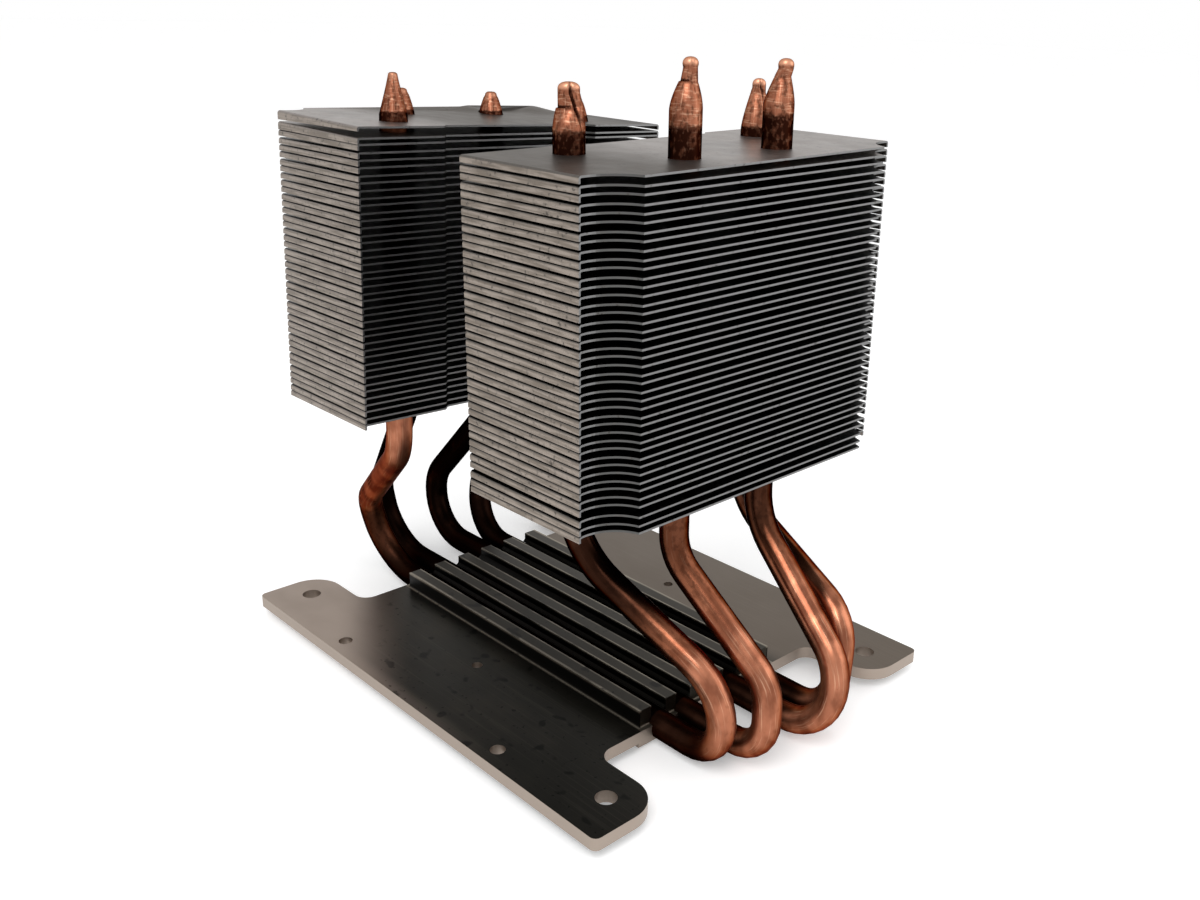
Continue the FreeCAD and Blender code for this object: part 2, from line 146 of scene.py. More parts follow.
def dress(material, start):
    """Give a material to every CAD node whose name starts so."""
    for name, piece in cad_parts.items():
        if name.startswith(start):
            piece.data.materials.clear()
            piece.data.materials.append(material)


# Satin aluminium gives the eye a soft, broad sheen: a painted dark reflection, its own warm grey at the ear.
satin_painted_dark, tree, shader, place, patches, lines, specks, stains = metal(
    "satin aluminium, painted dark reflection", BASE_PATCHES, DIE_LINES, SPECKS, STAINS)
x, y, z = add(tree, "SeparateXYZ", {0: place}).outputs
along, upward = facing(tree)
sideways = add(tree, "Math", {0: x}, operation="ABSOLUTE")
slantwise = add(tree, "Math", {0: x, 1: EAR_SLANT, 2: y}, operation="MULTIPLY_ADD")
from_groove = add(tree, "Math", {0: x, 1: GROOVE_SPACING / 2}, operation="PINGPONG")
from_side = add(tree, "Math", {0: BLOCK_HALF_WIDTH, 1: sideways}, operation="SUBTRACT")
on_block = (sideways, BLOCK_HALF_WIDTH + 0.6, BLOCK_HALF_WIDTH), (z, PLATE_TOP, PLATE_TOP + 0.2)
on_ridge = (z, RIDGE_TOP - 0.5, RIDGE_TOP - 0.2), (patches, 0.3, 0.6)
dirty = (slantwise, *STAINED_END), (x, *STAINED_SIDE), (upward, 0.5, 0.9)
# Painted dark reflection: the plate starts near black and fades to the metal's own warm grey at the rear left
# ear.
colour = lay(tree, BASE_DARK_REFLECTION, BASE_LIGHT, (slantwise, *REFLECTION_FADE_AT_EAR), (x, *LEFT_STRIP))
colour = lay(tree, colour, BASE_MID, (x, *RIGHT_STRIP))
colour = lay(tree, colour, BASE_MID, (patches, 0.45, 0.75), strength=0.12)
colour = lay(tree, colour, BASE_WORN_AND_HIGHLIGHT, (lines, 0.5, 0.8), strength=0.1)
# The painted dark reflection thins out along the left rim towards the rear.
colour = lay(tree, colour, BASE_LIGHT, (x, *LEFT_RIM), (y, *RIM_ALONG), strength=0.6)
colour = lay(tree, colour, BASE_RIDGE, *on_block)
# The block's outer wall, a painted highlight along the line at its foot, and the milled edges of the plate.
colour = lay(tree, colour, BASE_MID, *on_block, (along, 0.6, 0.9), (from_side, 0.3, 0.1))
# Painted highlight: a pale line along the foot of the block, where a small fillet would catch the light.
colour = lay(tree, colour, BASE_WORN_AND_HIGHLIGHT, (sideways, BLOCK_HALF_WIDTH + 0.75, BLOCK_HALF_WIDTH + 0.5),
             (z, PLATE_TOP + 0.3, PLATE_TOP + 0.1), strength=0.6)
colour = lay(tree, colour, BASE_CUT, (upward, 0.7, 0.3), (z, PLATE_TOP + 0.05, PLATE_TOP))
# The worn edges of the ridges, painted shade in the grooves, and the dirt.
colour = lay(tree, colour, BASE_WORN_AND_HIGHLIGHT, *on_ridge,
             (from_groove, GROOVE_HALF_WIDTH + 0.5, GROOVE_HALF_WIDTH + 0.1))
colour = lay(tree, colour, BASE_WORN_AND_HIGHLIGHT, *on_ridge, (from_side, 0.5, 0.1))
# Painted shade: the grooves between the ridges are painted near black.
colour = lay(tree, colour, BASE_SOOT_AND_SHADE, *on_block, (from_groove, GROOVE_HALF_WIDTH + 0.05, GROOVE_HALF_WIDTH),
             (z, RIDGE_TOP - 0.1, RIDGE_TOP - 0.8))
colour = lay(tree, colour, BASE_SOOT_AND_SHADE, *dirty, (stains, 0.64, 0.72), strength=0.7)
colour = lay(tree, colour, BASE_SOOT_AND_SHADE, *dirty, (specks, 0.68, 0.74), strength=0.7)
finish_metal(tree, shader, colour, patches, BASE_ROUGH, lines, BASE_RELIEF)
dress(satin_painted_dark, "base_plate")

# Heat pipes: drawn copper tube, bent cold to a U and laid in the base's channels. The front ends are pinched
# and closed with a weld bead, the rear ends spun to a cone. Drawn over the CAD solids, on their routes, for
# the pinched ends and for scratches that run along the tube. Sizes in mm.
PIPE_RADIUS = 2.99
SIDES = 48
STEP = 2.0
CHANNEL_HEIGHT = 3.8
LEG_ACROSS = {"outer": 25.3, "inner": 12.6}
LEG_ROW = {"outer": 10.0, "inner": 26.6}
FIN_THICKNESS = 0.4
STACKS = {
    "front": {"way": -1, "middle": -1.9, "inner": 16.6, "top": 120.202, "tilt": -0.8,
              "knee lean": 0.15, "leg offset": 0.3},
    "rear": {"way": 1, "middle": -0.3, "inner": 19.8, "top": 119.6, "tilt": 1.5,
             "knee lean": 0.35, "leg offset": -1.7},
}
# For each pipe: its leg's row and side, its channel, and in each stack the height of the bend under the
# fins, the reach and height of the knee, how far the end stands above the top fin, and the radii of the
# bend, the knee and the foot. Collars are the heights of burnt copper above the fins, front and rear. Painted
# shade is how dark the leg is painted under the front fins, from which height to which, and then how dark the
# rear leg is painted above its knee and below it.
PIPES = (
    {"row": "outer", "side": -1, "channel": -14.7,
     "front": (43.2, 60.5, 20.9, 12.5), "front bends": (20.0, 14.5, 9.0),
     "rear": (46.4, 60.8, 23.3, 10.8), "rear bends": (10.0, 10.0, 13.0),
     "collars": (5.4, 3.4), "painted_shade": (0.84, 21.0, 35.0, 0.0, 0.7)},
    {"row": "inner", "side": -1, "channel": -7.35,
     "front": (42.9, 65.5, 20.9, 17.3), "front bends": (11.0, 10.0, 9.0),
     "rear": (50.0, 69.6, 22.5, 6.8), "rear bends": (10.0, 10.0, 13.0),
     "collars": (7.5, 2.0), "painted_shade": (0.62, 22.0, 46.0, 1.0, 0.96)},
    {"row": "inner", "side": 1, "channel": 7.35,
     "front": (43.4, 70.0, 21.0, 16.5), "front bends": (14.0, 10.0, 12.2),
     "rear": (45.5, 70.4, 20.0, 6.0), "rear bends": (12.0, 10.0, 12.0),
     "collars": (8.5, 1.5), "painted_shade": (0.76, 30.0, 44.0, 1.0, 0.98)},
    {"row": "outer", "side": 1, "channel": 14.7,
     "front": (39.9, 65.0, 26.4, 11.5), "front bends": (15.0, 10.0, 9.0),
     "rear": (43.5, 61.5, 21.8, 6.0), "rear bends": (13.0, 10.0, 12.0),
     "collars": (2.6, 1.5), "painted_shade": (0.7, 26.0, 39.0, 1.0, 1.0)},
)
# Heights over which a rear leg's painted shade changes at the knee, and over which a leg is painted dark in
# the fins.
KNEE_SHADE = (20.0, 26.0)
INSIDE_FINS = (57.0, 62.0)
# Pinched ends: length of the taper and the neck, half width and half thickness of the pinch, lean of the
# bead, how deep the fold in its face is, how far the right side stands out at the foot of the neck, the step
# at the left there, and how much the bead swells.
PINCHED = (
    (3.9, 3.4, 2.0, 1.3, 0.0, 0.35, 0.65, 0.35, 0.0),
    (4.8, 3.0, 1.3, 1.2, 0.6, 0.1, 0.5, 0.3, 0.12),
    (5.0, 2.2, 1.45, 1.3, 1.0, 0.04, 0.3, 0.0, 0.06),
    (7.2, 1.6, 1.4, 0.95, 0.4, 0.2, 0.3, 0.0, 0.0),
)
PINCH_TURN = math.radians(-45)
FOLD_WIDTH = 0.17
BEAD_HALF = 1.19
TAPER_RINGS = 10
NECK_RINGS = 8
BEAD_RINGS = 13
# Rear ends: length of the cone, radius of its end, and how straight its side is, less than 1 being bulged.
CONES = ((8.0, 1.0, 1.1), (4.6, 1.4, 0.75), (4.6, 1.4, 0.75), (4.6, 1.4, 0.75))
CONE_RINGS = 8
DOME_RINGS = 7


def leg_point(pipe, stack, rise):
    """Point on the middle line of a leg, at a height above the underside of the top fin."""
    hole = Vector((
        pipe["side"] * LEG_ACROSS[pipe["row"]] + stack["leg offset"],
        stack["way"] * LEG_ROW[pipe["row"]],
        rise,
    ))
    top = Vector((stack["middle"], stack["way"] * stack["inner"], stack["top"]))
    return top + Matrix.Rotation(math.radians(stack["tilt"]), 3, "Y") @ hole


def leg_corners(pipe, name, tip_length):
    """Corners from a straight end down to the foot beside the block."""
    stack = STACKS[name]
    bend_height, reach, knee_height, end = pipe[name]
    bend_corner = leg_point(pipe, stack, bend_height - stack["top"])
    knee_x = pipe["channel"] + stack["knee lean"] * (bend_corner.x - pipe["channel"])
    return [
        leg_point(pipe, stack, FIN_THICKNESS + end - tip_length),
        bend_corner,
        Vector((knee_x, stack["way"] * reach, knee_height)),
        Vector((pipe["channel"], stack["way"] * reach, CHANNEL_HEIGHT)),
    ]


def run_along(points, stop):
    """Add evenly spaced points up to stop, which is added too."""
    start = points[-1]
    count = max(1, round((stop - start).length / STEP))
    points += [start.lerp(stop, i / count) for i in range(1, count + 1)]


def route_points(corners, bends):
    """Points along straight runs joined by arcs that meet them without a kink."""
    points = [corners[0]]
    for before, corner, after, bend in zip(corners, corners[1:], corners[2:], bends):
        back, ahead = (before - corner).normalized(), (after - corner).normalized()
        half = back.angle(ahead) / 2
        enter, leave = corner + back * bend / math.tan(half), corner + ahead * bend / math.tan(half)
        centre = corner + (back + ahead).normalized() * bend / math.sin(half)
        run_along(points, enter)
        count = max(6, round((math.pi - 2 * half) * bend / STEP))
        first, last = (enter - centre).normalized(), (leave - centre).normalized()
        points += [centre + first.slerp(last, i / count) * bend for i in range(1, count + 1)]
    run_along(points, corners[-1])
    return points


def smooth(value, low, high):
    """0 up to low, 1 from high, and a soft step between them."""
    t = min(1.0, max(0.0, (value - low) / (high - low)))
    return t * t * (3 - 2 * t)


def pinched_rings(lengths):
    """Rings of a pinched end: rise, half widths left and right, half thickness, lean, fold's depth and angle,
    crease at the left, weld."""
    taper, neck, wide, thin, lean, fold, flap, step, swells = lengths
    rings = []
    for i in range(1, TAPER_RINGS + 1):
        t = i / TAPER_RINGS
        in_by = t ** (1.3 + step)
        ends = wide + step, wide + flap, thin + step
        left, right, thick = (PIPE_RADIUS + (end - PIPE_RADIUS) * in_by for end in ends)
        rings.append((taper * t, left, right, thick, lean * t / 3, fold * t, 1.2 - 0.6 * t, 0.0, 0.0))
    for i in range(NECK_RINGS):
        t = i / (NECK_RINGS - 1)
        rise = taper + 0.1 + (neck - 0.8) * t
        crease = max(0.0, min(1.0, 4 * step) - 3 * t)
        rings.append((rise, wide, wide + flap * (1 - t), thin, lean * (1 + 2 * t) / 3, fold, 0.6 - 0.4 * t,
                      crease, 0.0))
    for i in range(BEAD_RINGS):
        angle = math.radians(-36 + 10 * i)
        swell = smooth(angle, -0.6, 0.0) * swells
        dome = math.cos(max(0.0, angle)) ** 0.8
        rise = taper + neck + BEAD_HALF * math.sin(angle)
        width = (wide + swell) * dome
        rings.append((rise, width, width, (thin + swell) * dome, lean, fold * (1 - i / 20), 0.2, 0.0,
                      smooth(i, 2, 5)))
    return rings


def pipe_mesh(name, pipe, pinch, cone):
    """Tube on a pipe's route with its two ends, and what its finish needs at each point."""
    cone_length, cone_end, cone_side = cone
    rear = leg_corners(pipe, "rear", cone_length + cone_end)
    front = leg_corners(pipe, "front", pinch[0] + pinch[1] + BEAD_HALF)
    points = route_points(rear + front[::-1], pipe["rear bends"] + pipe["front bends"][::-1])
    ahead = [(b - a).normalized() for a, b in zip(points, points[1:])]
    ahead = [ahead[0]] + [(a + b).normalized() for a, b in zip(ahead, ahead[1:])] + [ahead[-1]]
    angles = [2 * math.pi * i / SIDES for i in range(SIDES)]
    out = ahead[0].orthogonal().normalized()
    side = ahead[0].cross(out)
    verts, places, finishes = [], [], []
    leg_tops = [leg_point(pipe, STACKS[name], FIN_THICKNESS).z for name in ("front", "rear")]

    def ring(centre, spokes, length, weld, creases=(0.0,) * SIDES):
        rear_side = centre.y > 0
        rise = centre.z - leg_tops[rear_side]
        collar = pipe["collars"][rear_side]
        burnt = 1 - smooth(rise, 0.5 * collar, collar)
        # Painted shade: legs darkened under and inside the fins, the rear legs most, the ends above the fins
        # kept clear.
        dark, low, high, rear_high, rear_low = pipe["painted_shade"]
        rear_dark = rear_low + (rear_high - rear_low) * smooth(centre.z, *KNEE_SHADE)
        painted_shade = rear_dark if rear_side else dark * smooth(centre.z, low, high)
        painted_shade = max(painted_shade, smooth(centre.z, *INSIDE_FINS))
        over_fins = smooth(rise, -2.0, -1.0)
        for spoke, angle, crease in zip(spokes, angles, creases):
            verts.append((centre + spoke) * MM)
            places.append((math.cos(angle) * PIPE_RADIUS, math.sin(angle) * PIPE_RADIUS, length))
            finishes.append((max(crease, burnt * over_fins), painted_shade * (1 - over_fins), weld * (1 - crease)))

    def round_spokes(radius):
        return [(out * math.cos(a) + side * math.sin(a)) * radius for a in angles]

    up = -ahead[0]
    for i in range(DOME_RINGS):
        angle = math.radians(88 - 88 * i / (DOME_RINGS - 1))
        rise = cone_length + cone_end * math.sin(angle) * 0.6
        ring(rear[0] + up * rise, round_spokes(cone_end * math.cos(angle) ** 0.6), -rise, 0.4)
    for i in range(1, CONE_RINGS + 1):
        t = i / CONE_RINGS
        radius = cone_end + (PIPE_RADIUS - cone_end) * t ** cone_side
        ring(rear[0] + up * cone_length * (1 - t), round_spokes(radius), -cone_length * (1 - t), 0.0)
    length = 0.0
    for i, point in enumerate(points[1:], 1):
        length += (point - points[i - 1]).length
        out.rotate(ahead[i - 1].rotation_difference(ahead[i]))
        side = ahead[i].cross(out)
        ring(point, round_spokes(PIPE_RADIUS), length, 0.0)
    up = ahead[-1]
    lean_over = Matrix.Rotation(math.radians(STACKS["front"]["tilt"]), 3, "Y")
    wide_way = lean_over @ Vector((math.cos(PINCH_TURN), math.sin(PINCH_TURN), 0))
    thin_way = up.cross(wide_way)
    turned = math.atan2(out.dot(thin_way), out.dot(wide_way))
    for rise, left, right, thin, lean, fold, fold_turn, crease, weld in pinched_rings(pinch):
        spokes, creases = [], []
        for angle in (a + turned for a in angles):
            from_fold = math.remainder(angle + math.pi / 2 - fold_turn, 2 * math.pi)
            dent = fold * math.exp(-(from_fold / FOLD_WIDTH) ** 2)
            wide = right if math.cos(angle) > 0 else left
            spoke = wide_way * math.cos(angle) * wide + thin_way * math.sin(angle) * thin
            spokes.append(spoke * (1 - dent))
            creases.append(min(1.0, max(crease * smooth(math.cos(angle), 0.4, 0.0), 4 * dent)))
        ring(points[-1] + up * rise + wide_way * lean, spokes, length + rise, weld, creases)
    rings = len(verts) // SIDES
    faces = [
        (r * SIDES + s, r * SIDES + (s + 1) % SIDES, (r + 1) * SIDES + (s + 1) % SIDES, (r + 1) * SIDES + s)
        for r in range(rings - 1) for s in range(SIDES)
    ]
    faces += [tuple(reversed(range(SIDES))), tuple(range((rings - 1) * SIDES, rings * SIDES))]
    mesh = bpy.data.meshes.new(name)
    mesh.from_pydata(verts, [], faces)
    mesh.shade_smooth()
    for title, values in (("along", places), ("finish", finishes)):
        stored = mesh.attributes.new(title, "FLOAT_VECTOR", "POINT")
        stored.data.foreach_set("vector", [part for value in values for part in value])
    return mesh


COPPER = "#af7156"
COPPER_DEEP = "#7d4b37"
COPPER_PALE = "#e3b697"
COPPER_RED_BROWN = "#72412b"
COPPER_BURNT = "#27110a"
COPPER_SHADE = "#170c08"
BEAD = "#cf9679"
EDGE_TINT = "#5a3424"
COPPER_ROUGH = (0.24, 0.4)
COPPER_RELIEF = 0.03
# Where a finish starts and where it is full: heights, and distances from the middle of the base.
OVER_FINS = (119.0, 119.5)
LOW_BENDS = (30.0, 15.0)
REAR_HALF = (0.0, 20.0)
RUN_HEIGHT = (14.0, 6.0)
RUN_TO_BASE = (64.0, 55.0)
IN_BASE = (42.5, 42.0)
# Marks. Scratches and hatching run along the tube and round it. The real ones are hair lines, and are drawn
# 0.25 and 0.35 mm wide so that they show.
CLOUDS = ((5.0, 5.0, 8.0), 3.0)
SCRATCHES = ((0.25, 0.25, 7.0), 3.0, "along")
HATCHING = ((2.5, 2.5, 0.35), 3.0, "along")
BLOTCHES = ((1.0, 1.0, 1.6), 3.0, "along")

# Drawn copper gives the eye a warm gloss streaked along the tube, here a darker red-brown, then painted near
# black as shade where it goes under and into the fins and into the base.
drawn_copper, tree, shader, place, clouds, scratches, hatching, blotches = metal(
    "drawn copper, tarnished", CLOUDS, SCRATCHES, HATCHING, BLOTCHES)
_, y, z = add(tree, "SeparateXYZ", {0: place}).outputs
lengthwise = add(tree, "Math", {0: y}, operation="ABSOLUTE")
stored = add(tree, "Attribute", attribute_name="finish").outputs["Vector"]
burnt, painted_shade, weld = add(tree, "SeparateXYZ", {0: stored}).outputs
ragged = add(tree, "Math", {0: burnt, 1: blotches}, operation="ADD")
over_fins = (z, *OVER_FINS)
shade_onset = (painted_shade, 0.0, 0.5)
colour = lay(tree, COPPER_DEEP, COPPER, (clouds, 0.35, 0.65))
colour = lay(tree, colour, COPPER_DEEP, over_fins, strength=0.5)
colour = lay(tree, colour, COPPER_PALE, (scratches, 0.55, 0.75), strength=0.4)
colour = lay(tree, colour, COPPER_PALE, over_fins, (hatching, 0.5, 0.7), strength=0.4)
colour = lay(tree, colour, COPPER_BURNT, over_fins, (blotches, 0.5, 0.65), strength=0.6)
colour = lay(tree, colour, COPPER_DEEP, (blotches, 0.6, 0.72), strength=0.35)
colour = lay(tree, colour, COPPER_BURNT, (ragged, 0.75, 1.15), (blotches, 0.78, 0.48))
# A darker red-brown, with burnt blotches, where the painted shade begins.
colour = lay(tree, colour, COPPER_RED_BROWN, shade_onset, strength=0.7)
colour = lay(tree, colour, COPPER_BURNT, shade_onset, (blotches, 0.48, 0.62), strength=0.35)
# Painted shade: near black over the shade mask, broken up by the clouds.
colour = lay(tree, colour, COPPER_SHADE, (painted_shade, 0.25, 0.95), (clouds, 1.5, 0.55))
# Painted shade on the lowest runs, where the bends turn in towards the base.
colour = lay(tree, colour, COPPER_SHADE, (z, *RUN_HEIGHT), (lengthwise, *RUN_TO_BASE), strength=0.95)
# Painted shade where the tube lies inside the base.
colour = lay(tree, colour, COPPER_SHADE, (lengthwise, *IN_BASE), (z, RIDGE_TOP + 1, RIDGE_TOP))
colour = lay(tree, colour, BEAD, strength=weld)
matt = 0.0
for value, start, full in ((z, *LOW_BENDS), over_fins, (y, *REAR_HALF)):
    edge = add(tree, "MapRange", {"Value": value, "From Min": start, "From Max": full},
               interpolation_type="SMOOTHSTEP")
    matt = add(tree, "Math", {0: matt, 1: edge}, operation="MAXIMUM")
finish_metal(tree, shader, colour, matt, COPPER_ROUGH, scratches, COPPER_RELIEF)
shader.inputs["Specular Tint"].default_value = linear(EDGE_TINT)
for number, (pipe, pinch, cone) in enumerate(zip(PIPES, PINCHED, CONES), 1):
    name = f"copper_pipe_{number}"
    piece = bpy.data.objects.new(name, pipe_mesh(name, pipe, pinch, cone))
    bpy.context.scene.collection.objects.link(piece)
    piece.data.materials.append(drawn_copper)
    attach(piece, "root")
    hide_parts(f"heat_pipe_{number}")

# Front fins: 42 sheets stamped from rolled aluminium, their ends folded down to lips that reach the next fin,
# pressed on to the pipes. Cut edges are bright, the lips warm and scuffed with specks of grime, and the faces
# deep in the gaps are painted dark as shade. The CAD solids are shown. Sizes in mm.
SHEET = "#877f7a"
SHEET_DARKER = "#625e5a"
SHEET_TINT = "#ffffff"
SHEET_DARKER_TINT = "#d2d0ce"
SHEET_EDGE = "#767676"
SCALLOP_EDGE = "#575756"
LIP = "#7a7168"
LIP_PALE = "#9b9188"
GRIME_AND_SHADE = "#121211"
SHEET_ROUGH = (0.3, 0.48)
SHEET_RELIEF = 0.02
# Where a finish starts and where it is full, by height, by distance from the middle and by place along X.
UNDER_TOP_FIN = (119.2, 118.2)
AT_LIPS = (36.0, 38.0)
FRONT_DARKER = (-5.0, -30.0)
# Marks. The lines of the rolls are finer than 0.1 mm, and are drawn 0.5 mm wide so that they show.
ROLL_LINES = ((60.0, 0.5, 0.5), 3.0)
SHEET_CLOUDS = ((14.0, 9.0, 9.0), 3.0)
SCUFFS = ((4.0, 7.0, 0.5), 3.0)
GRIT = ((0.9, 0.9, 0.9), 2.0)


def fin_sheet(name, darker):
    """Sheet for one stack, darker along X."""
    # Rolled aluminium gives the eye a grey sheen, pale when seen along the sheet and streaked by the rolls.
    made, tree, shader, place, lines, clouds, scuffs, grit = metal(
        name, ROLL_LINES, SHEET_CLOUDS, SCUFFS, GRIT)
    x, _, z = add(tree, "SeparateXYZ", {0: place}).outputs
    along, upward = facing(tree)
    sideways = add(tree, "Math", {0: x}, operation="ABSOLUTE")
    tint = lay(tree, SHEET_TINT, SHEET_DARKER_TINT, (x, *darker))
    edge = lay(tree, SHEET_EDGE, SCALLOP_EDGE, (along, 0.15, 0.35))
    lips = lay(tree, LIP, LIP_PALE, (scuffs, 0.35, 0.65))
    colour = lay(tree, SHEET, SHEET_DARKER, (x, *darker))
    colour = lay(tree, colour, SHEET_DARKER, (clouds, 0.45, 0.7), strength=0.5)
    colour = lay(tree, colour, SHEET, (lines, 0.5, 0.75), strength=0.25)
    # Painted shade: the upper faces of the fins below the top one are painted near black.
    colour = lay(tree, colour, GRIME_AND_SHADE, (upward, 0.6, 0.8), (z, *UNDER_TOP_FIN))
    colour = lay(tree, colour, edge, (upward, 0.5, 0.3))
    colour = lay(tree, colour, lips, (along, 0.85, 0.95), (sideways, *AT_LIPS))
    colour = lay(tree, colour, SHEET_DARKER, (grit, 0.5, 0.7), strength=0.35)
    colour = lay(tree, colour, GRIME_AND_SHADE, (grit, 0.66, 0.72), strength=0.5)
    finish_metal(tree, shader, colour, scuffs, SHEET_ROUGH, lines, SHEET_RELIEF)
    tree.links.new(tint, shader.inputs["Specular Tint"])
    return made


dress(fin_sheet("rolled aluminium sheet, front", FRONT_DARKER), "front_fins")

# Rear fins: 42 sheets stamped from the same rolled aluminium, turned half round and pressed on to the other
# ends of the pipes. Their sheet is darker towards the right. The CAD solids are shown.
REAR_DARKER = (-30.0, -10.0)
rear_sheet = fin_sheet("rolled aluminium sheet, rear", REAR_DARKER)
dress(rear_sheet, "rear_fins")

# Top two rear fins: the same stamped sheets, both knocked in use, the upper one more. The outer edge is bent
# up and wavy, and the inner edge sags towards the right. Drawn over the CAD sheets to show the bends. Sizes
# in mm.
FIN_HALF = 41.8
FIN_DEPTH = 37.6
LIP_BEND = 0.2
LIP_DROP = 0.89
LIP_DEEP = 32.0
FRONT_HALF = 32.6
SCALLOP_RADIUS = 7.9
RECESS_HALF = 19.6
RECESS_DEPTH = 1.5
FIN_HOLE = 3.06
FLAT_HALF = FIN_HALF - LIP_BEND - FIN_THICKNESS
FIN_MESH = 2.0
LIP_STEPS = 16
BEND_STEPS = 6
SCALLOP_STEPS = 10
HOLE_SIDES = 24
# For each fin: height of its underside, lift of the inner and the outer edge at their left and right ends,
# lift of the left lip's lower edge at its inner and outer ends, and the waves in the outer edge by middle,
# half length and height.
UPPER_FIN = {"height": 119.623, "inner": (0.45, -0.45), "outer": (1.2, -0.2), "left lip": (0.8, 0.4),
             "waves": ((9.8, 6.0, 1.4), (30.5, 8.0, 1.4))}
LOWER_FIN = {"height": 118.024, "inner": (-0.15, -0.35), "outer": (0.5, 0.0), "left lip": (-0.15, 0.0),
             "waves": ()}


def scallop(start, stop):
    """Points of the hollow corner between two points, curved in towards the fin."""
    middle = (start + stop) / 2
    across = (stop - start).normalized()
    inward = Vector((-middle.x, -middle.y - FIN_DEPTH / 2)).normalized()
    half = (stop - start).length / 2
    out = Vector((across.y, -across.x))
    if out.dot(inward) > 0:
        out = -out
    centre = middle + out * math.sqrt(SCALLOP_RADIUS ** 2 - half ** 2)
    first, last = start - centre, stop - centre
    turn = math.remainder(math.atan2(last.y, last.x) - math.atan2(first.y, first.x), 2 * math.pi)
    return [centre + Matrix.Rotation(turn * i / SCALLOP_STEPS, 2) @ first for i in range(1, SCALLOP_STEPS)]


def fin_outline():
    """Outline of the flat sheet: inner edge along Y 0, reaching out to -Y."""
    corner, tip = Vector((-FLAT_HALF, -LIP_DEEP)), Vector((-FRONT_HALF, -FIN_DEPTH))
    left = [Vector((-FLAT_HALF, -LIP_DEEP * i / LIP_STEPS)) for i in range(LIP_STEPS + 1)]
    left += scallop(corner, tip) + [tip]
    right = [Vector((-v.x, v.y)) for v in reversed(left)]
    recess = [Vector((RECESS_HALF + RECESS_DEPTH, 0)), Vector((RECESS_HALF, -RECESS_DEPTH))]
    return left + right + recess + [Vector((-v.x, v.y)) for v in reversed(recess)]


def flat_sheet():
    """Points and triangles of the flat sheet, with its four holes."""
    across = -STACKS["rear"]["leg offset"]
    holes = [Vector((side * LEG_ACROSS[row] + across, -LEG_ROW[row])) for row in LEG_ROW for side in (-1, 1)]
    turns = [2 * math.pi * i / HOLE_SIDES for i in range(HOLE_SIDES)]
    rims = [[hole + Vector((math.cos(a), math.sin(a))) * FIN_HOLE for a in turns] for hole in holes]
    spots, edges = [], []
    for loop in [fin_outline()] + rims:
        first = len(spots)
        spots += loop
        edges += [(first + i, first + (i + 1) % len(loop)) for i in range(len(loop))]
    columns, rows = int(FLAT_HALF / FIN_MESH), int(FIN_DEPTH / FIN_MESH)
    spots += [
        Vector((i * FIN_MESH, -(j + 0.45) * FIN_MESH))
        for i in range(-columns, columns + 1) for j in range(rows)
    ]
    flat, _, triangles, *_ = geometry.delaunay_2d_cdt(spots, edges, [], 1, 1e-5)
    kept = []
    for triangle in triangles:
        middle = sum((flat[i] for i in triangle), Vector((0, 0))) / 3
        if all((middle - hole).length > FIN_HOLE - 0.05 for hole in holes):
            kept.append(triangle)
    return flat, kept


def bent_fin(made, fin, flat, triangles):
    """Add one sheet with its lips to a mesh being made, bent and set in its place."""
    tilt = math.radians(STACKS["rear"]["tilt"])
    turn = Matrix.Rotation(tilt, 3, "Y") @ Matrix.Rotation(math.pi, 3, "Z")
    slide = (fin["height"] - STACKS["rear"]["top"]) * math.tan(tilt)
    origin = Vector((STACKS["rear"]["middle"] + slide, STACKS["rear"]["inner"], fin["height"]))

    def put(x, y, z):
        outward = -y / FIN_DEPTH
        rightward = (FIN_HALF - x) / (2 * FIN_HALF)
        ends = [left + (right - left) * rightward for left, right in (fin["inner"], fin["outer"])]
        if x > 0 and z < -LIP_BEND - 0.01:
            ends = fin["left lip"]
        lift = ends[0] + (ends[1] - ends[0]) * outward
        for middle, half, high in fin["waves"]:
            wave = math.cos(math.pi / 2 * min(1.0, abs(-x - middle) / half)) ** 2
            lift += high * wave * smooth(outward, 0.6, 1.0)
        return made.verts.new((origin + turn @ Vector((x, y, z + lift))) * MM)

    upper = [put(v.x, v.y, FIN_THICKNESS) for v in flat]
    lower = [put(v.x, v.y, 0.0) for v in flat]
    sides = {}
    for t in triangles:
        made.faces.new([upper[i] for i in t])
        made.faces.new([lower[i] for i in reversed(t)])
        for edge in zip(t, (*t[1:], t[0])):
            sides[edge] = edge[::-1] not in sides
            if not sides[edge]:
                sides[edge[::-1]] = False
    for (a, b), open_side in sides.items():
        on_lip = all(abs(flat[i].x) > FLAT_HALF - 0.01 for i in (a, b))
        if open_side and not on_lip:
            made.faces.new((upper[a], lower[a], lower[b], upper[b]))
    bend = [math.pi / 2 * (1 - i / BEND_STEPS) for i in range(BEND_STEPS + 1)]
    outer = LIP_BEND + FIN_THICKNESS
    profile = [(FLAT_HALF + outer * math.cos(a), -LIP_BEND + outer * math.sin(a)) for a in bend]
    profile += [(FIN_HALF, -LIP_DROP), (FIN_HALF - FIN_THICKNESS, -LIP_DROP)]
    bend.reverse()
    profile += [(FLAT_HALF + LIP_BEND * math.cos(a), -LIP_BEND + LIP_BEND * math.sin(a)) for a in bend]
    for side in (-1, 1):
        strips = [
            [put(side * x, -LIP_DEEP * i / LIP_STEPS, z) for x, z in profile]
            for i in range(LIP_STEPS + 1)
        ]
        for one, two in zip(strips, strips[1:]):
            for i in range(len(profile) - 1):
                face = (one[i], one[i + 1], two[i + 1], two[i])
                made.faces.new(face if side > 0 else face[::-1])
        made.faces.new(strips[0][::-side])
        made.faces.new(strips[-1][::side])


